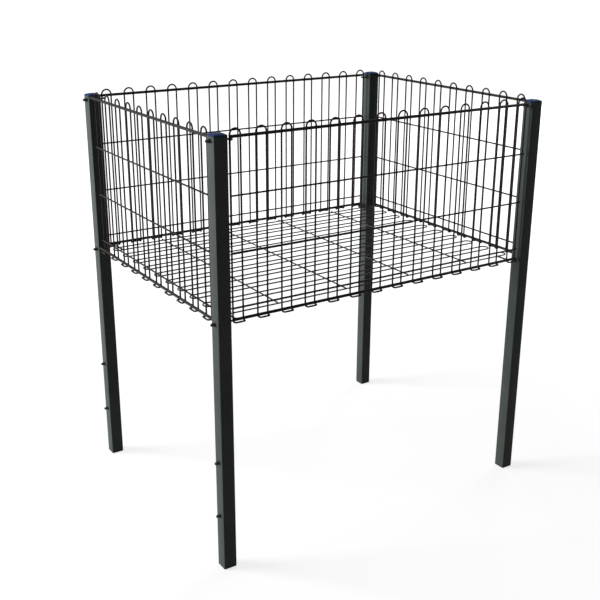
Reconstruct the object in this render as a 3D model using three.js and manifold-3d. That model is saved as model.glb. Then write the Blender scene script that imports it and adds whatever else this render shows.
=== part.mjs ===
// Retail dump bin: four square tube legs, four welded wire panels and a loose wire floor that lifts out.
import * as THREE from "three";
import { mergeVertices } from "three/addons/utils/BufferGeometryUtils.js";
import Module from "manifold-3d";

const wasm = await Module();
wasm.setup();

// All sizes are in millimetres: X along the long sides, Y along the short sides, Z up from the shop floor.
const length = 796;
const width = 606;
const tubeTop = 880;

// Fits between neighbouring pieces
const restGap = 0.3;
const holeGap = 0.3;
const plugGap = 0.3;

// Square tube legs
const legSide = 28;
const legWall = 1.5;
const legCorner = 2;

// Plastic foot plugs and top caps
const footFlange = 3;
const footInsert = 18;
const capFlange = 1.6;
const capDome = 3.2;
const capShoulderIn = 3;
const capShoulderRise = 2.2;
const capCrownIn = 6;
const capInsert = 6;

// Wires of the panels and of the floor
const wireDiameter = 3.5;
const floorWire = 3;
const railDiameter = 6;
const weldSink = 0.3;
const wireSides = 6;
const railSides = 8;
const quarterSteps = 2;

// Panels: closed wire loops hang from a top rail, their tails bent out under a bottom rail
const loopWidth = 22;
const longInset = 11;
const shortInset = 9;
const longEndGap = 9;
const shortEndGap = 15;
const longLoops = 14;
const shortLoops = 10;
const topRailDrop = 2.5;
const bendRise = 2;
const rowPitch = 107.3;
const rowCount = 3;
const bottomRailDrop = 21.8;
const tailGap = 0.1;
const tailReach = 8.5;
const tailInside = 0.5;
const loopSeam = 0.6;
const wireOverhang = 2;

// Loose floor: loops along X with cross wires on top
const floorDrop = 0.8;
const tipGap = 17;
const crossPitch = 163;
const crossCount = 4;

// Bolts, cap nuts and the dome screws of the spare shelf holes
const boltDiameter = 4;
const boltSides = 8;
const hookGap = 0.3;
const armReach = 20;
const armCorner = 6;
const armLap = 8;
const boltEntry = 5;
const nutSides = 6;
const nutWall = 0.7;
const nutLedge = 0.6;
const nutBase = 3.5;
const nutShoulderIn = 1;
const nutShoulderHeight = 7.4;
const nutHeight = 9;
const screwShank = 9;
const screwLevels = [239, 120];

// Sizes that follow from the ones above
const longSpan = length - 2 * legSide;
const shortSpan = width - 2 * legSide;
const topRailZ = tubeTop - topRailDrop;
const bottomRailZ = topRailZ - rowCount * rowPitch - bottomRailDrop;
const wireStep = wireDiameter - weldSink;
const floorStep = floorWire - weldSink;
const railStep = (wireDiameter + railDiameter) / 2 - weldSink;
const wireRadius = cornerRadius(wireDiameter, wireSides);
const floorRadius = cornerRadius(floorWire, wireSides);
const railRadius = cornerRadius(railDiameter, railSides);
const boltRadius = cornerRadius(boltDiameter, boltSides);
const tailZ = bottomRailZ - railRadius - tailGap - wireRadius;
const tailBend = wireRadius + tailInside;
const floorZ = bottomRailZ - floorDrop;
const outerFloorWire = shortSpan / 2 - shortEndGap;
const hookBend = wireRadius + hookGap + boltRadius;
const boltY = width / 2 - longInset - hookBend;
const railHookZ = topRailZ - railRadius - restGap - boltRadius;
const floorHookZ = floorZ - floorRadius - restGap - boltRadius;

// Corner radius of a polygon that has the area of a circle
function cornerRadius(diameter, sides) {
  const turn = (2 * Math.PI) / sides;
  return (diameter / 2) * Math.sqrt(turn / Math.sin(turn));
}

// Regular polygon with a corner on the first axis, or turned half a side
function polygon(radius, sides, turned) {
  const start = turned ? Math.PI / sides : 0;
  const points = [];
  for (let i = 0; i < sides; i++) {
    const angle = start + (2 * Math.PI * i) / sides;
    points.push(new THREE.Vector2(radius * Math.cos(angle), radius * Math.sin(angle)));
  }
  return new THREE.Shape(points);
}

// Curve with one step for each of its points
class StepCurve extends THREE.Curve {
  constructor(points, tangents) {
    super();
    this.points = points;
    this.tangents = tangents;
  }
  getPointAt(share, target = new THREE.Vector3()) {
    return target.copy(this.points[Math.round(share * (this.points.length - 1))]);
  }
  getTangentAt(share, target = new THREE.Vector3()) {
    return target.copy(this.tangents[Math.round(share * (this.points.length - 1))]);
  }
}

// Closed solid of a geometry
function solid(geometry) {
  const plain = geometry.clone();
  plain.deleteAttribute("normal");
  plain.deleteAttribute("uv");
  const merged = mergeVertices(plain, 1e-4);
  return new wasm.Manifold(
    new wasm.Mesh({
      numProp: 3,
      vertProperties: new Float32Array(merged.attributes.position.array),
      triVerts: new Uint32Array(merged.index.array),
    }),
  );
}

// Geometry of a finished solid
function geometryOf(made) {
  const mesh = made.getMesh();
  const geometry = new THREE.BufferGeometry();
  geometry.setAttribute("position", new THREE.BufferAttribute(new Float32Array(mesh.vertProperties), 3));
  geometry.setIndex(new THREE.BufferAttribute(new Uint32Array(mesh.triVerts), 1));
  geometry.computeVertexNormals();
  return geometry;
}

// Wire swept along points that are each given with the direction of travel
function sweep(section, points, tangents) {
  const extrudePath = new StepCurve(points, tangents);
  return new THREE.ExtrudeGeometry(section, { steps: points.length - 1, extrudePath });
}

// Straight wire between two points
function rod(from, to, section) {
  const tangent = to.clone().sub(from).normalize();
  return sweep(section, [from, to], [tangent, tangent]);
}

// Points round a bend of some quarter turns, with the direction of travel at each
function bendPath(centre, outward, onward, radius, quarters) {
  const points = [];
  const tangents = [];
  for (let i = 0; i <= quarterSteps * quarters; i++) {
    const angle = (Math.PI / 2) * (i / quarterSteps);
    const point = centre.clone();
    point.addScaledVector(outward, radius * Math.cos(angle));
    point.addScaledVector(onward, radius * Math.sin(angle));
    const tangent = outward.clone().multiplyScalar(-Math.sin(angle));
    tangent.addScaledVector(onward, Math.cos(angle));
    points.push(point);
    tangents.push(tangent);
  }
  return { points, tangents };
}

const xAxis = new THREE.Vector3(1, 0, 0);
const yAxis = new THREE.Vector3(0, 1, 0);
const zAxis = new THREE.Vector3(0, 0, 1);
const floorSection = polygon(floorRadius, wireSides, false);
const wireSection = polygon(wireRadius, wireSides, true);
const railSection = polygon(railRadius, railSides, false);
const boltSection = polygon(boltRadius, boltSides, false);

// Evenly spaced places about zero
function spread(count, pitch) {
  return Array.from({ length: count }, (_, i) => (i - (count - 1) / 2) * pitch);
}

// Distance between the loops of a panel that fills a span
function loopPitch(span, endGap, loops) {
  return (span - 2 * endGap - loopWidth) / (loops - 1);
}

// One wire panel in its own frame: loops in the plane y = 0, the outside of the bin towards -y
function panel(span, endGap, loops, railHalf) {
  const endWire = span / 2 - endGap;
  const half = loopWidth / 2;
  const down = zAxis.clone().negate();
  const out = yAxis.clone().negate();
  const pieces = [];
  for (const x of spread(loops, loopPitch(span, endGap, loops))) {
    const bend = bendPath(new THREE.Vector3(x, 0, topRailZ + bendRise), xAxis, zAxis, half, 2);
    const tail = (side) => [
      new THREE.Vector3(x + (side * loopSeam) / 2, -tailReach, tailZ),
      new THREE.Vector3(x + side * (half - tailBend), -tailReach, tailZ),
      new THREE.Vector3(x + side * half, tailBend - tailReach, tailZ),
      new THREE.Vector3(x + side * half, -tailBend, tailZ),
      new THREE.Vector3(x + side * half, 0, tailZ + tailBend),
    ];
    const points = [...tail(1), ...bend.points, ...tail(-1).reverse()];
    const rise = [xAxis, xAxis, yAxis, yAxis, zAxis];
    const fall = [down, out, out, xAxis, xAxis];
    pieces.push(sweep(wireSection, points, [...rise, ...bend.tangents, ...fall]));
  }
  const wireHalf = endWire + wireOverhang;
  for (let row = 1; row <= rowCount; row++) {
    const z = topRailZ - row * rowPitch;
    const from = new THREE.Vector3(-wireHalf, -wireStep, z);
    const to = new THREE.Vector3(wireHalf, -wireStep, z);
    pieces.push(rod(from, to, wireSection));
  }
  for (const z of [topRailZ, bottomRailZ]) {
    const from = new THREE.Vector3(-railHalf, -railStep, z);
    const to = new THREE.Vector3(railHalf, -railStep, z);
    pieces.push(rod(from, to, railSection));
  }
  return geometryOf(wasm.Manifold.union(pieces.map(solid)));
}

// Loose floor: closed loops along X with the cross wires welded on top
function floorGrid() {
  const half = loopWidth / 2;
  const tip = length / 2 - shortInset - tipGap;
  const bendX = tip - half;
  const back = xAxis.clone().negate();
  const pieces = [];
  for (const y of spread(shortLoops, loopPitch(shortSpan, shortEndGap, shortLoops))) {
    const right = bendPath(new THREE.Vector3(bendX, y, floorZ), yAxis.clone().negate(), xAxis, half, 2);
    const left = bendPath(new THREE.Vector3(-bendX, y, floorZ), yAxis, back, half, 2);
    const start = new THREE.Vector3(loopSeam / 2, y - half, floorZ);
    const end = new THREE.Vector3(-loopSeam / 2, y - half, floorZ);
    const points = [start, ...right.points, ...left.points, end];
    const tangents = [xAxis, ...right.tangents, ...left.tangents, xAxis];
    pieces.push(sweep(floorSection, points, tangents));
  }
  const crossHalf = outerFloorWire + wireOverhang;
  for (const x of spread(crossCount, crossPitch)) {
    const from = new THREE.Vector3(x, -crossHalf, floorZ + floorStep);
    const to = new THREE.Vector3(x, crossHalf, floorZ + floorStep);
    pieces.push(rod(from, to, floorSection));
  }
  return geometryOf(wasm.Manifold.union(pieces.map(solid)));
}

// Square with rounded corners about the origin
function roundedSquare(side, corner) {
  const edge = side / 2;
  const flat = edge - corner;
  const shape = new THREE.Shape();
  shape.absarc(flat, flat, corner, 0, Math.PI / 2, false);
  shape.absarc(-flat, flat, corner, Math.PI / 2, Math.PI, false);
  shape.absarc(-flat, -flat, corner, Math.PI, 1.5 * Math.PI, false);
  shape.absarc(flat, -flat, corner, 1.5 * Math.PI, 2 * Math.PI, false);
  return shape;
}

// Tube leg with its bolt holes, at the corner given by two signs
function leg(sideX, sideY) {
  const x = sideX * (length / 2 - legSide / 2);
  const y = sideY * (width / 2 - legSide / 2);
  const bottom = footFlange + restGap;
  const hollow = legSide / 2 - legWall;
  const shape = roundedSquare(legSide, legCorner);
  const corners = [[-hollow, -hollow], [-hollow, hollow], [hollow, hollow], [hollow, -hollow]];
  shape.holes.push(new THREE.Path(corners.map(([a, b]) => new THREE.Vector2(a, b))));
  const depth = tubeTop - bottom;
  const tube = new THREE.ExtrudeGeometry(shape, { depth, bevelEnabled: false, curveSegments: 2 });
  tube.translate(x, y, bottom);
  const holeSection = polygon(cornerRadius(boltDiameter + 2 * holeGap, boltSides), boltSides, false);
  const outside = sideX * (length / 2 + legWall);
  const inside = sideX * (length / 2 - legSide - legWall);
  const drill = (end, atY, z) => {
    return rod(new THREE.Vector3(outside, atY, z), new THREE.Vector3(end, atY, z), holeSection);
  };
  const holes = [railHookZ, floorHookZ].map((z) => drill(inside, sideY * boltY, z));
  for (const z of screwLevels) {
    holes.push(drill(x, y, z));
  }
  const drilled = holes.reduce((rest, hole) => rest.subtract(solid(hole)), solid(tube));
  return geometryOf(drilled);
}

// Square plug turned from a side profile of half widths and heights
function squarePlug(profile, x, y) {
  const points = profile.map(([half, z]) => new THREE.Vector2(half * Math.SQRT2, z));
  const plug = new THREE.LatheGeometry(points, 4, Math.PI / 4);
  plug.rotateX(Math.PI / 2);
  plug.translate(x, y, 0);
  return plug;
}

// Foot plug: flange under the tube end and an insert inside it
function foot(x, y) {
  const insert = legSide / 2 - legWall - plugGap;
  const top = footFlange + footInsert;
  const side = legSide / 2;
  const profile = [[0, 0], [side, 0], [side, footFlange], [insert, footFlange], [insert, top], [0, top]];
  return squarePlug(profile, x, y);
}

// Top cap: low domed cover with an insert inside the tube
function cap(x, y) {
  const side = legSide / 2;
  const insert = side - legWall - plugGap;
  const seat = tubeTop + restGap;
  const edge = seat + capFlange;
  const profile = [
    [0, seat - capInsert],
    [insert, seat - capInsert],
    [insert, seat],
    [side, seat],
    [side, edge],
    [side - capShoulderIn, edge + capShoulderRise],
    [side - capCrownIn, edge + capDome],
    [0, edge + capDome],
  ];
  return squarePlug(profile, x, y);
}

// Rail hook: bolt through the leg, bent round the end wire of a long panel and under its top rail
function railHook(sideX, sideY) {
  const wireX = sideX * (longSpan / 2 - longEndGap);
  const wireY = sideY * (width / 2 - longInset);
  const start = new THREE.Vector3(sideX * (length / 2 + boltEntry), sideY * boltY, railHookZ);
  const inward = xAxis.clone().multiplyScalar(-sideX);
  const toMiddle = yAxis.clone().multiplyScalar(-sideY);
  const bend = bendPath(new THREE.Vector3(wireX, wireY, railHookZ), toMiddle, inward, hookBend, 2);
  return sweep(boltSection, [start, ...bend.points], [inward, ...bend.tangents]);
}

// Floor hook: bolt through the leg, passing behind the end loop of a long panel, its arm under the floor
function floorHook(sideX, sideY) {
  const armX = sideX * (longSpan / 2 - armReach);
  const start = new THREE.Vector3(sideX * (length / 2 + boltEntry), sideY * boltY, floorHookZ);
  const end = new THREE.Vector3(armX, sideY * (outerFloorWire - armLap), floorHookZ);
  const inward = xAxis.clone().multiplyScalar(-sideX);
  const outward = yAxis.clone().multiplyScalar(sideY);
  const centre = new THREE.Vector3(armX + sideX * armCorner, sideY * (boltY - armCorner), floorHookZ);
  const bend = bendPath(centre, outward, inward, armCorner, 1);
  const toMiddle = outward.clone().negate();
  return sweep(boltSection, [start, ...bend.points, end], [inward, ...bend.tangents, toMiddle]);
}

// Turned fastener with a hexagon base and a dome, pointing away from the outer short face of a leg
function turned(profile, sideX, y, z) {
  const points = profile.map(([radius, along]) => new THREE.Vector2(radius, along));
  const made = new THREE.LatheGeometry(points, nutSides);
  made.rotateZ(-sideX * (Math.PI / 2));
  made.translate(sideX * (length / 2 + restGap), y, z);
  return made;
}

// Outside of a dome fastener from its hexagon base to the top of the dome
const nutHole = (boltRadius + holeGap) / Math.cos(Math.PI / nutSides);
const nutDome = nutHole + nutWall;
const domeProfile = [
  [nutDome + nutLedge, 0],
  [nutDome + nutLedge, nutBase],
  [nutDome, nutBase],
  [nutDome - nutShoulderIn, nutShoulderHeight],
  [0, nutHeight],
];

// Cap nut with a blind hole for the bolt end
function capNut(sideX, y, z) {
  const depth = boltEntry + restGap;
  return turned([[0, depth], [nutHole, depth], [nutHole, 0], ...domeProfile], sideX, y, z);
}

// Dome screw in the outer wall of a leg
function domeScrew(sideX, y, z) {
  const shank = boltDiameter / 2;
  return turned([[0, -screwShank], [shank, -screwShank], [shank, 0], ...domeProfile], sideX, y, z);
}

// Materials
const frameColour = 0x464d49;
const wireColour = 0x282524;
const capColour = 0x20365c;
const footColour = 0x15171c;
const frameFinish = { color: frameColour, roughness: 0.55, metalness: 0.2 };
const wireFinish = { color: wireColour, roughness: 0.5, metalness: 0.2 };
const capFinish = { color: capColour, roughness: 0.4, metalness: 0 };
const footFinish = { color: footColour, roughness: 0.4, metalness: 0 };

const bin = new THREE.Group();
bin.name = "dump_bin";

function addPart(name, geometry, finish) {
  const mesh = new THREE.Mesh(geometry, new THREE.MeshStandardMaterial(finish));
  mesh.name = name;
  bin.add(mesh);
  return mesh;
}

// Panels, each turned so that its outside faces away from the bin
const longRailHalf = longSpan / 2 - longEndGap + wireOverhang;
const shortRailHalf = shortSpan / 2 - restGap;
for (const [name, turn] of [["front", 0], ["back", Math.PI]]) {
  const geometry = panel(longSpan, longEndGap, longLoops, longRailHalf);
  geometry.translate(0, -(width / 2 - longInset), 0);
  geometry.rotateZ(turn);
  addPart(name + "_panel", geometry, wireFinish);
}
for (const [name, turn] of [["left", -Math.PI / 2], ["right", Math.PI / 2]]) {
  const geometry = panel(shortSpan, shortEndGap, shortLoops, shortRailHalf);
  geometry.translate(0, -(length / 2 - shortInset), 0);
  geometry.rotateZ(turn);
  addPart(name + "_panel", geometry, wireFinish);
}
addPart("floor_grid", floorGrid(), wireFinish);

// Legs with what is fitted to each
for (const [sideName, sideY] of [["front", -1], ["back", 1]]) {
  for (const [endName, sideX] of [["left", -1], ["right", 1]]) {
    const corner = sideName + "_" + endName;
    const x = sideX * (length / 2 - legSide / 2);
    const y = sideY * (width / 2 - legSide / 2);
    addPart("leg_" + corner, leg(sideX, sideY), frameFinish);
    addPart("foot_" + corner, foot(x, y), footFinish);
    addPart("cap_" + corner, cap(x, y), capFinish);
    addPart("rail_hook_" + corner, railHook(sideX, sideY), frameFinish);
    addPart("floor_hook_" + corner, floorHook(sideX, sideY), frameFinish);
    addPart("top_nut_" + corner, capNut(sideX, sideY * boltY, railHookZ), frameFinish);
    addPart("bottom_nut_" + corner, capNut(sideX, sideY * boltY, floorHookZ), frameFinish);
    screwLevels.forEach((z, i) => {
      addPart(["upper", "lower"][i] + "_screw_" + corner, domeScrew(sideX, y, z), frameFinish);
    });
  }
}

export default bin;
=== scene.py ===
import math

import bpy
from mathutils import Matrix, Vector


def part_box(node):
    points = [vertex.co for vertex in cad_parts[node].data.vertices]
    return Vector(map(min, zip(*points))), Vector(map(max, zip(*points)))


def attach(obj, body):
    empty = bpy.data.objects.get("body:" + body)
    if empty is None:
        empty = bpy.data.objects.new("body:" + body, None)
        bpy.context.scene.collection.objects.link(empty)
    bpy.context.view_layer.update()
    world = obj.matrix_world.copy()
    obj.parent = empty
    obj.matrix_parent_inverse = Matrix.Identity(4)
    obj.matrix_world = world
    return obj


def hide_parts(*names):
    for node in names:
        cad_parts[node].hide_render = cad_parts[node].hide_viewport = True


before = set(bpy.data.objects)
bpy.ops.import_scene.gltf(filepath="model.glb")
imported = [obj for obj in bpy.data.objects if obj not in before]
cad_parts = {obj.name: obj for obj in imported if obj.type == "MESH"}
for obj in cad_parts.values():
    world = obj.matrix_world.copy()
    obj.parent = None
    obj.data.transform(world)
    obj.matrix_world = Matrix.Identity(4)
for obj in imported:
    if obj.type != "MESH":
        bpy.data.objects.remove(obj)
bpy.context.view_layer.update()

X = Vector((1, 0, 0))
Y = Vector((0, 1, 0))
Z = Vector((0, 0, 1))

# Overall sizes, read from the frame in metres
leg_low, leg_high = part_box("leg_front_left")
length = -2 * leg_low.x
width = -2 * leg_low.y
tube_top = leg_high.z
tube_bottom = leg_low.z
leg_side = leg_high.x - leg_low.x
top_nut = sum(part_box("top_nut_front_left"), Vector()) / 2
bottom_nut = sum(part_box("bottom_nut_front_left"), Vector()) / 2
bolt_y = -top_nut.y
rail_hook_z = top_nut.z
floor_hook_z = bottom_nut.z

# Fits and tube walls, as in the solids
rest_gap = 0.0003
hole_gap = 0.0003
plug_gap = 0.0003
leg_wall = 0.0015
leg_corner = 0.002

# Plugs
foot_flange = 0.003
foot_insert = 0.018
cap_flange = 0.0016
cap_dome = 0.0032
cap_insert = 0.006
plug_edge = 0.0005
cap_rings = 12
cap_crowding = 1.6
cap_fullness = 4

# Wires
wire_diameter = 0.0035
floor_wire = 0.003
rail_diameter = 0.006
weld_sink = 0.0003
wire_sides = 12
rail_sides = 16
bend_steps = 14
corner_steps = 4
sheared_share = 0.8
sheared_length = 0.25

# Half sizes of the weld swells, and the swell of a rail at each distance from its leg
wire_weld = (0.0017, 0.0017, 0.0007)
rail_weld = (0.0017, 0.0026, 0.0008)
floor_weld = (0.0017, 0.0017, 0.0008)
weld_rings = 6
weld_points = 8
rail_fillet = ((0.003, 1), (0.0018, 1.1), (0.0008, 1.3), (0, 1.55))

# Panels
loop_width = 0.022
long_inset = 0.011
short_inset = 0.009
long_end_gap = 0.009
short_end_gap = 0.015
long_loops = 14
short_loops = 10
top_rail_drop = 0.0025
bend_rise = 0.002
row_pitch = 0.1073
row_count = 3
bottom_rail_drop = 0.0218
tail_drop = 0.005
tail_reach = 0.0085
tail_bend = 0.003
wire_overhang = 0.002
seam_half = 0.0012
seam_swell = 1.14
seam_shares = (-1, -0.5, 0, 0.5, 1)

# Loose floor, whose round wires settle on the arms of the floor hooks
floor_drop = 0.0008
floor_settle = 0.0006
tip_gap = 0.017
cross_pitch = 0.163
cross_count = 4

# Fasteners
bolt_diameter = 0.004
bolt_sides = 20
arm_reach = 0.02
arm_corner = 0.006
arm_lap = 0.008
bolt_entry = 0.005
nut_hole = 0.0027
nut_dome = 0.0035
nut_corner = 0.0041
nut_base = 0.0035
nut_height = 0.009
nut_sides = 6
nut_points = 36
nut_chamfer = 0.00035
chamfer_share = 0.9
crown_share = 0.98
crown_rings = 11
crown_opening = 10.4
crown_fullness = 0.8
nut_hole_end = 0.2
bolt_tip_share = 0.9
screw_shank = 0.009
screw_point = 0.001
screw_point_share = 0.7
screw_levels = (("upper", 0.239), ("lower", 0.12))

# Sizes that follow from the ones above
wire_radius = wire_diameter / 2
floor_radius = floor_wire / 2
rail_radius = rail_diameter / 2
bolt_radius = bolt_diameter / 2
wire_step = wire_diameter - weld_sink
floor_step = floor_wire - weld_sink
rail_step = wire_radius + rail_radius - weld_sink
weld_step = wire_radius - weld_sink / 2
top_rail_z = tube_top - top_rail_drop
bottom_rail_z = top_rail_z - row_count * row_pitch - bottom_rail_drop
tail_z = bottom_rail_z - tail_drop
floor_z = bottom_rail_z - floor_drop - floor_settle
long_span = length - 2 * leg_side
short_span = width - 2 * leg_side
outer_floor_wire = short_span / 2 - short_end_gap
hook_bend = width / 2 - long_inset - bolt_y


# Vertices and faces of a piece while it is being made
class Shape:
    def __init__(self):
        self.vertices = []
        self.faces = []

    # Skin over rings of equal count, closed into a loop or capped at both ends
    def skin(self, rings, closed=False):
        start = len(self.vertices)
        count = len(rings[0])
        for ring in rings:
            self.vertices.extend(ring)
        spans = len(rings) if closed else len(rings) - 1
        for i in range(spans):
            here = start + i * count
            there = start + (i + 1) % len(rings) * count
            for j in range(count):
                k = (j + 1) % count
                self.faces.append((here + j, here + k, there + k, there + j))
        if not closed:
            last = start + (len(rings) - 1) * count
            self.faces.append(tuple(start + j for j in reversed(range(count))))
            self.faces.append(tuple(last + j for j in range(count)))

    # Round wire along points, with a radius for each point; the first ring is set out from a normal
    def wire(self, points, radii, sides, normal, closed=False):
        rings = []
        for i, point in enumerate(points):
            before = points[i - 1] if closed or i else point
            after = points[(i + 1) % len(points)] if closed or i + 1 < len(points) else point
            along = (after - before).normalized()
            normal = (normal - along * normal.dot(along)).normalized()
            side = along.cross(normal)
            ring = []
            for j in range(sides):
                angle = 2 * math.pi * j / sides
                offset = normal * math.cos(angle) + side * math.sin(angle)
                ring.append(point + offset * radii[i])
            rings.append(ring)
        self.skin(rings, closed)

    # Straight wire with sheared ends that are rounded a little
    def rod(self, start, end, radius, sides, normal):
        along = (end - start).normalized() * radius * sheared_length
        points = [start, start + along, end - along, end]
        sheared = radius * sheared_share
        self.wire(points, [sheared, radius, radius, sheared], sides, normal)

    # Small swell of metal where two wires are welded
    def weld(self, centre, axes, radii):
        rings = []
        for i in range(1, weld_rings):
            polar = math.pi * i / weld_rings
            ring = []
            for j in range(weld_points):
                angle = 2 * math.pi * j / weld_points
                point = axes[0] * radii[0] * math.sin(polar) * math.cos(angle)
                point += axes[1] * radii[1] * math.sin(polar) * math.sin(angle)
                point += axes[2] * radii[2] * math.cos(polar)
                ring.append(centre + point)
            rings.append(ring)
        self.skin(rings[::-1])


# Points of an arc about a centre, from one angle to another
def arc(centre, first, second, radius, start, end, steps):
    points = []
    for i in range(steps + 1):
        angle = start + (end - start) * i / steps
        points.append(centre + (first * math.cos(angle) + second * math.sin(angle)) * radius)
    return points


# Evenly spaced places about zero
def spread(count, pitch):
    return [(i - (count - 1) / 2) * pitch for i in range(count)]


# Distance between the loops of a panel that fills a span
def loop_pitch(span, end_gap, loops):
    return (span - 2 * end_gap - loop_width) / (loops - 1)


# Finished piece that stands for a node of the frame
def piece(node, shape, material, body, sharp=40):
    mesh = bpy.data.meshes.new(node + "_visual")
    mesh.from_pydata([tuple(v) for v in shape.vertices], [], shape.faces)
    mesh.validate()
    mesh.shade_smooth()
    mesh.set_sharp_from_angle(angle=math.radians(sharp))
    mesh.materials.append(material)
    made = bpy.data.objects.new(node + "_visual", mesh)
    bpy.context.scene.collection.objects.link(made)
    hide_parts(node)
    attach(made, body)
    return made


# Node of a material, with its settings and its input values
def add_node(tree, kind, settings=None, **values):
    node = tree.nodes.new(kind)
    for name, value in (settings or {}).items():
        setattr(node, name, value)
    for name, value in values.items():
        node.inputs[name.replace("_", " ")].default_value = value
    return node


# Unevenness that every surface has: band of the colour drift, spread of the gloss and depth of the relief
drift_low = 0.3
drift_high = 0.7
gloss_below = 0.06
gloss_above = 0.08
relief_depth = 0.0002


# Coated or moulded surface: broad colour drift, fine grain in the relief and an uneven gloss
def surface(name, dark, light, roughness, specular, drift, grain, relief):
    material = bpy.data.materials.new(name)
    material.use_nodes = True
    tree = material.node_tree
    shader = tree.nodes["Principled BSDF"]
    shader.inputs["Specular IOR Level"].default_value = specular
    place = add_node(tree, "ShaderNodeTexCoord")
    broad = add_node(tree, "ShaderNodeTexNoise", Scale=drift, Detail=5.0, Roughness=0.6)
    fine = add_node(tree, "ShaderNodeTexNoise", Scale=grain, Detail=3.0, Roughness=0.55)
    ramp = add_node(tree, "ShaderNodeValToRGB")
    ramp.color_ramp.elements[0].position = drift_low
    ramp.color_ramp.elements[0].color = (*dark, 1)
    ramp.color_ramp.elements[1].position = drift_high
    ramp.color_ramp.elements[1].color = (*light, 1)
    shiny, dull = roughness - gloss_below, roughness + gloss_above
    gloss = add_node(tree, "ShaderNodeMapRange", To_Min=shiny, To_Max=dull)
    bump = add_node(tree, "ShaderNodeBump", Strength=relief, Distance=relief_depth)
    for noise in (broad, fine):
        tree.links.new(place.outputs["Object"], noise.inputs["Vector"])
    tree.links.new(broad.outputs["Fac"], ramp.inputs["Fac"])
    tree.links.new(ramp.outputs["Color"], shader.inputs["Base Color"])
    tree.links.new(fine.outputs["Fac"], gloss.inputs["Value"])
    tree.links.new(gloss.outputs["Result"], shader.inputs["Roughness"])
    tree.links.new(fine.outputs["Fac"], bump.inputs["Height"])
    tree.links.new(bump.outputs["Normal"], shader.inputs["Normal"])
    return material


leg_coat = surface(
    "leg_coat",
    dark=(0.066, 0.079, 0.07),
    light=(0.084, 0.099, 0.089),
    roughness=0.45,
    specular=0.04,
    drift=14,
    grain=1300,
    relief=0.35,
)
wire_coat = surface(
    "wire_coat",
    dark=(0.025, 0.022, 0.021),
    light=(0.036, 0.032, 0.031),
    roughness=0.5,
    specular=0.05,
    drift=60,
    grain=1800,
    relief=0.3,
)
# Painted light: the same coat as the panel wires, painted lighter so that the floor wires show the light
# falling on them from above
floor_coat_painted_top_light = surface(
    "floor_coat_painted_top_light",
    dark=(0.055, 0.051, 0.05),
    light=(0.075, 0.07, 0.068),
    roughness=0.45,
    specular=0.08,
    drift=60,
    grain=1800,
    relief=0.3,
)
nut_coat = surface(
    "nut_coat",
    dark=(0.06, 0.07, 0.064),
    light=(0.08, 0.092, 0.085),
    roughness=0.32,
    specular=0.12,
    drift=90,
    grain=1500,
    relief=0.2,
)
cap_plastic = surface(
    "cap_plastic",
    dark=(0.017, 0.04, 0.12),
    light=(0.024, 0.056, 0.155),
    roughness=0.5,
    specular=0.05,
    drift=50,
    grain=1600,
    relief=0.25,
)
foot_plastic = surface(
    "foot_plastic",
    dark=(0.016, 0.016, 0.018),
    light=(0.026, 0.026, 0.028),
    roughness=0.5,
    specular=0.1,
    drift=70,
    grain=1400,
    relief=0.3,
)


# Closed wire loop of a panel, from the middle of its tail round the top bend and back
def hanging_loop(shape, place, at):
    half = loop_width / 2
    across = place(1, 0, 0) - place(0, 0, 0)
    outward = place(0, 1, 0) - place(0, 0, 0)

    def leg_of_loop(side):
        lip = place(at + side * (half - tail_bend), tail_reach - tail_bend, tail_z)
        heel = place(at + side * half, tail_bend, tail_z + tail_bend)
        turn = arc(lip, outward, across * side, tail_bend, 0, math.pi / 2, corner_steps)
        return turn + arc(heel, -Z, -outward, tail_bend, 0, math.pi / 2, corner_steps)

    top = arc(place(at, 0, top_rail_z + bend_rise), across, Z, half, 0, math.pi, bend_steps)
    seam = [place(at + share * seam_half, tail_reach, tail_z) for share in seam_shares]
    points = seam + leg_of_loop(1) + top + leg_of_loop(-1)[::-1]
    radii = [wire_radius] * len(points)
    radii[1:4] = [wire_radius * seam_swell] * 3
    shape.wire(points, radii, wire_sides, outward, closed=True)


# Wire panel of one side: outward points away from the bin, reach is the distance of its loop plane
def panel(node, outward, reach, span, end_gap, loops, welded_ends):
    across = outward.cross(Z)

    def place(along, out, z):
        return across * along + outward * (reach + out) + Z * z

    shape = Shape()
    levels = [top_rail_z - row * row_pitch for row in range(1, row_count + 1)]
    end_wire = span / 2 - end_gap
    wire_half = end_wire + wire_overhang
    for z in levels:
        start, end = place(-wire_half, wire_step, z), place(wire_half, wire_step, z)
        shape.rod(start, end, wire_radius, wire_sides, outward)
    for z in (top_rail_z, bottom_rail_z):
        if welded_ends:
            rail_to_leg(shape, place, span / 2, z, outward)
        else:
            start, end = place(-wire_half, rail_step, z), place(wire_half, rail_step, z)
            shape.rod(start, end, rail_radius, rail_sides, outward)
    for at in spread(loops, loop_pitch(span, end_gap, loops)):
        hanging_loop(shape, place, at)
        for wire in (at - loop_width / 2, at + loop_width / 2):
            for z in levels:
                shape.weld(place(wire, weld_step, z), (across, Z, outward), wire_weld)
            for z in (top_rail_z, bottom_rail_z):
                shape.weld(place(wire, weld_step, z), (across, Z, outward), rail_weld)
    return piece(node, shape, wire_coat, "frame")


# Rail whose two ends are welded to the legs
def rail_to_leg(shape, place, half, z, normal):
    points = [place(half - back, rail_step, z) for back, _ in reversed(rail_fillet)]
    points += [place(back - half, rail_step, z) for back, _ in rail_fillet]
    radii = [rail_radius * swell for _, swell in reversed(rail_fillet)]
    radii += [rail_radius * swell for _, swell in rail_fillet]
    shape.wire(points, radii, rail_sides, normal)


for node, outward in (("front_panel", -Y), ("back_panel", Y)):
    panel(node, outward, width / 2 - long_inset, long_span, long_end_gap, long_loops, False)
for node, outward in (("left_panel", -X), ("right_panel", X)):
    panel(node, outward, length / 2 - short_inset, short_span, short_end_gap, short_loops, True)


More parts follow.
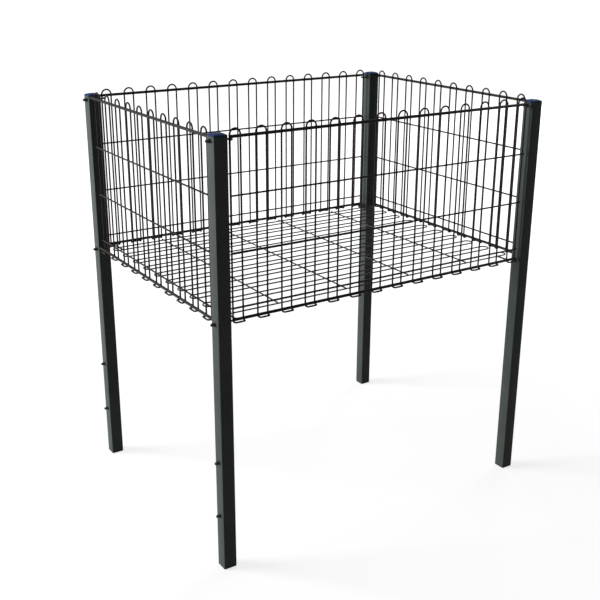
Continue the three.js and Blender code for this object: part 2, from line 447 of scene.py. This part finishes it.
# Loose floor: flat loops along X with cross wires welded on top
def floor_grid():
    shape = Shape()
    half = loop_width / 2
    bend_x = length / 2 - short_inset - tip_gap - half
    cross_half = outer_floor_wire + wire_overhang
    cross_places = spread(cross_count, cross_pitch)
    for y in spread(short_loops, loop_pitch(short_span, short_end_gap, short_loops)):
        right = arc(Vector((bend_x, y, floor_z)), X, Y, half, -math.pi / 2, math.pi / 2, bend_steps)
        left = arc(Vector((-bend_x, y, floor_z)), X, Y, half, math.pi / 2, 1.5 * math.pi, bend_steps)
        seam = [Vector((share * seam_half, y - half, floor_z)) for share in seam_shares]
        points = seam + right + left
        radii = [floor_radius] * len(points)
        radii[1:4] = [floor_radius * seam_swell] * 3
        shape.wire(points, radii, wire_sides, Z, closed=True)
        for x in cross_places:
            for wire in (y - half, y + half):
                centre = Vector((x, wire, floor_z + floor_step / 2))
                shape.weld(centre, (X, Y, Z), floor_weld)
    for x in cross_places:
        start = Vector((x, -cross_half, floor_z + floor_step))
        end = Vector((x, cross_half, floor_z + floor_step))
        shape.rod(start, end, floor_radius, wire_sides, Z)
    return piece("floor_grid", shape, floor_coat_painted_top_light, "floor")


floor_grid()


# Ring of a square with rounded corners
def rounded_square(centre, half, corner, steps=5):
    ring = []
    for quarter in range(4):
        turn = math.pi / 2 * quarter
        out = Vector((math.cos(turn) - math.sin(turn), math.sin(turn) + math.cos(turn), 0))
        ring += arc(centre + out * (half - corner), X, Y, corner, turn, turn + math.pi / 2, steps)
    return ring


# Round cutter along X
def bore(shape, start, end):
    radius = bolt_radius + hole_gap
    shape.wire([start, end], [radius, radius], bolt_sides, Z)


# Cuts one shape out of a finished piece
def cut(made, shape):
    mesh = bpy.data.meshes.new("cutter")
    mesh.from_pydata([tuple(v) for v in shape.vertices], [], shape.faces)
    cutter = bpy.data.objects.new("cutter", mesh)
    bpy.context.scene.collection.objects.link(cutter)
    modifier = made.modifiers.new("holes", "BOOLEAN")
    modifier.operation = "DIFFERENCE"
    modifier.solver = "EXACT"
    modifier.object = cutter
    bpy.context.view_layer.update()
    drilled = bpy.data.meshes.new_from_object(made.evaluated_get(bpy.context.evaluated_depsgraph_get()))
    drilled.name = made.data.name
    made.modifiers.clear()
    made.data = drilled
    bpy.data.objects.remove(cutter)


# Tube leg with its bolt holes
def leg(corner, side_x, side_y, centre):
    shape = Shape()
    outer = leg_side / 2
    hollow = outer - leg_wall
    walls = (
        (outer, leg_corner, (tube_bottom, tube_top)),
        (hollow, leg_corner / 4, (tube_top, tube_bottom)),
    )
    rings = []
    for half, round_by, levels in walls:
        rings += [rounded_square(centre + Z * z, half, round_by) for z in levels]
    shape.skin(rings, closed=True)
    made = piece("leg_" + corner, shape, leg_coat, "frame")
    outside = side_x * (length / 2 + leg_wall)
    inside = side_x * (length / 2 - leg_side - leg_wall)
    holes = Shape()
    for z in (rail_hook_z, floor_hook_z):
        y = side_y * bolt_y
        bore(holes, Vector((outside, y, z)), Vector((inside, y, z)))
    for _, z in screw_levels:
        bore(holes, Vector((outside, centre.y, z)), Vector((centre.x, centre.y, z)))
    cut(made, holes)


# Foot plug: flange with rounded edges under the tube, and an insert inside it
def foot(corner, centre):
    side = leg_side / 2
    insert = side - leg_wall - plug_gap
    top = foot_flange + foot_insert
    stack = (
        (side - 2 * plug_edge, 0),
        (side - plug_edge / 2, plug_edge / 2),
        (side, 2 * plug_edge),
        (side, foot_flange - plug_edge),
        (side - plug_edge / 2, foot_flange),
        (insert, foot_flange),
        (insert, top - plug_edge),
        (insert - plug_edge, top),
    )
    shape = Shape()
    shape.skin([rounded_square(centre + Z * z, half, leg_corner) for half, z in stack])
    piece("foot_" + corner, shape, foot_plastic, "frame")


# Top cap: low pillow dome over a flange, and an insert inside the tube
def cap(corner, centre):
    side = leg_side / 2
    insert = side - leg_wall - plug_gap
    seat = tube_top + rest_gap
    edge = seat + cap_flange
    stack = [
        (insert - plug_edge, leg_corner / 2, seat - cap_insert),
        (insert, leg_corner / 2, seat - cap_insert + plug_edge),
        (insert, leg_corner / 2, seat),
        (side - plug_edge / 2, leg_corner, seat),
        (side, leg_corner, seat + plug_edge / 2),
    ]
    for i in range(cap_rings):
        share = (i / cap_rings) ** cap_crowding
        half = side * (1 - share)
        round_by = leg_corner * (1 - share) + half * share
        stack.append((half, round_by, edge + cap_dome * (1 - (1 - share) ** cap_fullness)))
    shape = Shape()
    shape.skin([rounded_square(centre + Z * z, half, round_by) for half, round_by, z in stack])
    piece("cap_" + corner, shape, cap_plastic, "frame")


# Bolt along a path that starts inside its nut
def bolt(node, path, side_x):
    start = path[0]
    points = [start, start - X * side_x * bolt_radius * sheared_length] + path[1:]
    radii = [bolt_radius] * len(points)
    radii[0] = bolt_radius * sheared_share
    radii[-1] = bolt_radius * bolt_tip_share
    shape = Shape()
    shape.wire(points, radii, bolt_sides, Z)
    piece(node, shape, nut_coat, "frame")


# Bolt bent round the end wire of a long panel and under its top rail
def rail_hook(corner, side_x, side_y):
    start = Vector((side_x * (length / 2 + bolt_entry), side_y * bolt_y, rail_hook_z))
    end_wire_x = side_x * (long_span / 2 - long_end_gap)
    centre = Vector((end_wire_x, side_y * (bolt_y + hook_bend), rail_hook_z))
    bend = arc(centre, -Y * side_y, -X * side_x, hook_bend, 0, math.pi, bend_steps)
    bolt("rail_hook_" + corner, [start] + bend, side_x)


# Bolt bent sideways so that its arm lies under the floor
def floor_hook(corner, side_x, side_y):
    arm_x = side_x * (long_span / 2 - arm_reach)
    start = Vector((side_x * (length / 2 + bolt_entry), side_y * bolt_y, floor_hook_z))
    centre = Vector((arm_x + side_x * arm_corner, side_y * (bolt_y - arm_corner), floor_hook_z))
    bend = arc(centre, Y * side_y, -X * side_x, arm_corner, 0, math.pi / 2, bend_steps // 2)
    end = Vector((arm_x, side_y * (outer_floor_wire - arm_lap), floor_hook_z))
    bolt("floor_hook_" + corner, [start] + bend + [end], side_x)


# Ring of a fastener: a circle, or a hexagon whose corners are cut off by a circle
def nut_ring(base, axis, along, circle, corner=None):
    ring = []
    for j in range(nut_points):
        angle = 2 * math.pi * j / nut_points
        radius = circle
        if corner is not None:
            sector = 2 * math.pi / nut_sides
            flat = corner * math.cos(sector / 2) / math.cos(angle % sector - sector / 2)
            radius = min(circle, flat)
        side = Z.cross(axis)
        ring.append(base + axis * along + (Z * math.cos(angle) + side * math.sin(angle)) * radius)
    return ring


# Fastener with a chamfered hexagon and a round dome; core is the hole of a nut or the shank of a screw
def dome_fastener(node, side_x, y, z, core):
    axis = X * side_x
    base = Vector((side_x * (length / 2 + rest_gap), y, z))
    rings = [nut_ring(base, axis, along, radius) for along, radius in core]
    for along, circle in (
        (0, nut_corner * chamfer_share),
        (nut_chamfer, nut_corner),
        (nut_base - nut_chamfer, nut_corner),
        (nut_base, nut_corner * chamfer_share),
    ):
        rings.append(nut_ring(base, axis, along, circle, nut_corner))
    neck = nut_base + nut_chamfer
    crown = nut_dome * crown_share
    for i in range(crown_rings):
        angle = math.pi / 2 * i / crown_opening
        along = neck + (nut_height - neck) * math.sin(angle)
        rings.append(nut_ring(base, axis, along, crown * math.cos(angle) ** crown_fullness))
    shape = Shape()
    shape.skin(rings)
    piece(node, shape, nut_coat, "frame", sharp=30)


nut_depth = bolt_entry + rest_gap
nut_core = ((nut_depth, nut_hole * nut_hole_end), (nut_depth, nut_hole), (0, nut_hole))
screw_core = (
    (-screw_shank, bolt_radius * screw_point_share),
    (-screw_shank + screw_point, bolt_radius),
    (0, bolt_radius),
)

for side_name, side_y in (("front", -1), ("back", 1)):
    for end_name, side_x in (("left", -1), ("right", 1)):
        corner = side_name + "_" + end_name
        centre = Vector((side_x * (length - leg_side) / 2, side_y * (width - leg_side) / 2, 0))
        leg(corner, side_x, side_y, centre)
        foot(corner, centre)
        cap(corner, centre)
        rail_hook(corner, side_x, side_y)
        floor_hook(corner, side_x, side_y)
        dome_fastener("top_nut_" + corner, side_x, side_y * bolt_y, rail_hook_z, nut_core)
        dome_fastener("bottom_nut_" + corner, side_x, side_y * bolt_y, floor_hook_z, nut_core)
        for level, z in screw_levels:
            dome_fastener(level + "_screw_" + corner, side_x, centre.y, z, screw_core)


# One where a ray comes from the camera, a reflection or a view through glass
def seen_directly(tree):
    path = add_node(tree, "ShaderNodeLightPath")
    either = add_node(tree, "ShaderNodeMath", {"operation": "MAXIMUM"})
    any_of = add_node(tree, "ShaderNodeMath", {"operation": "MAXIMUM"})
    tree.links.new(path.outputs["Is Camera Ray"], either.inputs[0])
    tree.links.new(path.outputs["Is Glossy Ray"], either.inputs[1])
    tree.links.new(either.outputs[0], any_of.inputs[0])
    tree.links.new(path.outputs["Is Transmission Ray"], any_of.inputs[1])
    return any_of


# Pale floor that keeps the shadow of the bin, and is white further out
def pale_floor():
    size = 40
    grey = (0.5, 0.5, 0.5, 1)
    near, far = 0.7, 2.4
    near_glow, far_glow = 0.76, 1.0
    mesh = bpy.data.meshes.new("floor")
    corners = [(-size, -size, 0), (size, -size, 0), (size, size, 0), (-size, size, 0)]
    mesh.from_pydata(corners, [], [(0, 1, 2, 3)])
    material = bpy.data.materials.new("pale_floor")
    material.use_nodes = True
    tree = material.node_tree
    tree.nodes.remove(tree.nodes["Principled BSDF"])
    matt = add_node(tree, "ShaderNodeBsdfDiffuse", Color=grey)
    glow = add_node(tree, "ShaderNodeEmission", Color=(1, 1, 1, 1))
    place = add_node(tree, "ShaderNodeTexCoord")
    away = add_node(tree, "ShaderNodeVectorMath", {"operation": "LENGTH"})
    white = add_node(tree, "ShaderNodeMapRange", From_Min=near, From_Max=far)
    white.inputs["To Min"].default_value = near_glow
    white.inputs["To Max"].default_value = far_glow
    level = add_node(tree, "ShaderNodeMath", {"operation": "MULTIPLY"})
    both = add_node(tree, "ShaderNodeAddShader")
    tree.links.new(place.outputs["Object"], away.inputs[0])
    tree.links.new(away.outputs["Value"], white.inputs["Value"])
    tree.links.new(white.outputs["Result"], level.inputs[1])
    tree.links.new(seen_directly(tree).outputs[0], level.inputs[0])
    tree.links.new(level.outputs[0], glow.inputs["Strength"])
    tree.links.new(matt.outputs[0], both.inputs[0])
    tree.links.new(glow.outputs[0], both.inputs[1])
    tree.links.new(both.outputs[0], tree.nodes["Material Output"].inputs["Surface"])
    mesh.materials.append(material)
    made = bpy.data.objects.new("floor", mesh)
    bpy.context.scene.collection.objects.link(made)


# White surroundings to look at, and a soft even light from all round
def surroundings():
    even_light = 0.05
    world = bpy.data.worlds.new("studio")
    bpy.context.scene.world = world
    world.use_nodes = True
    tree = world.node_tree
    light = tree.nodes["Background"]
    light.inputs["Color"].default_value = (1, 1, 1, 1)
    light.inputs["Strength"].default_value = even_light
    white = add_node(tree, "ShaderNodeBackground", Color=(1, 1, 1, 1), Strength=1.0)
    mix = add_node(tree, "ShaderNodeMixShader")
    tree.links.new(seen_directly(tree).outputs[0], mix.inputs[0])
    tree.links.new(light.outputs[0], mix.inputs[1])
    tree.links.new(white.outputs[0], mix.inputs[2])
    tree.links.new(mix.outputs[0], tree.nodes["World Output"].inputs["Surface"])


# Soft lamp aimed at the middle of the bin
def soft_lamp(name, place, size, power):
    aim = (0, 0, 0.5)
    data = bpy.data.lights.new(name, "AREA")
    data.size = size
    data.energy = power
    lamp = bpy.data.objects.new(name, data)
    lamp.location = place
    lamp.rotation_euler = (Vector(aim) - Vector(place)).to_track_quat("-Z", "Y").to_euler()
    bpy.context.scene.collection.objects.link(lamp)


# Camera at the viewing angle of the photograph
def camera():
    azimuth, elevation, roll = math.radians(-32.99), math.radians(19.77), math.radians(0.23)
    distance = 2.282
    sensor_width, lens = 36, 58.88
    target = Vector((-0.0223, 0, 0.418))
    level_back = Vector((math.sin(azimuth), -math.cos(azimuth), 0))
    back = level_back * math.cos(elevation) + Z * math.sin(elevation)
    right = Vector((math.cos(azimuth), math.sin(azimuth), 0))
    upright = back.cross(right)
    turned_right = right * math.cos(roll) + upright * math.sin(roll)
    turned_up = upright * math.cos(roll) - right * math.sin(roll)
    data = bpy.data.cameras.new("camera")
    data.sensor_width = sensor_width
    data.lens = lens
    made = bpy.data.objects.new("camera", data)
    turn = Matrix((turned_right, turned_up, back)).transposed().to_4x4()
    made.matrix_world = Matrix.Translation(target + back * distance) @ turn
    bpy.context.scene.collection.objects.link(made)
    bpy.context.scene.camera = made


pale_floor()
surroundings()
soft_lamp("left_softbox", place=(-5.2, 3.4, 1.6), size=3, power=470)
soft_lamp("top_softbox", place=(0.0, 0.6, 3.6), size=1.6, power=20)
soft_lamp("right_fill", place=(5.2, 2.4, 1.4), size=3, power=110)
camera()
bpy.context.scene.view_settings.view_transform = "Standard"
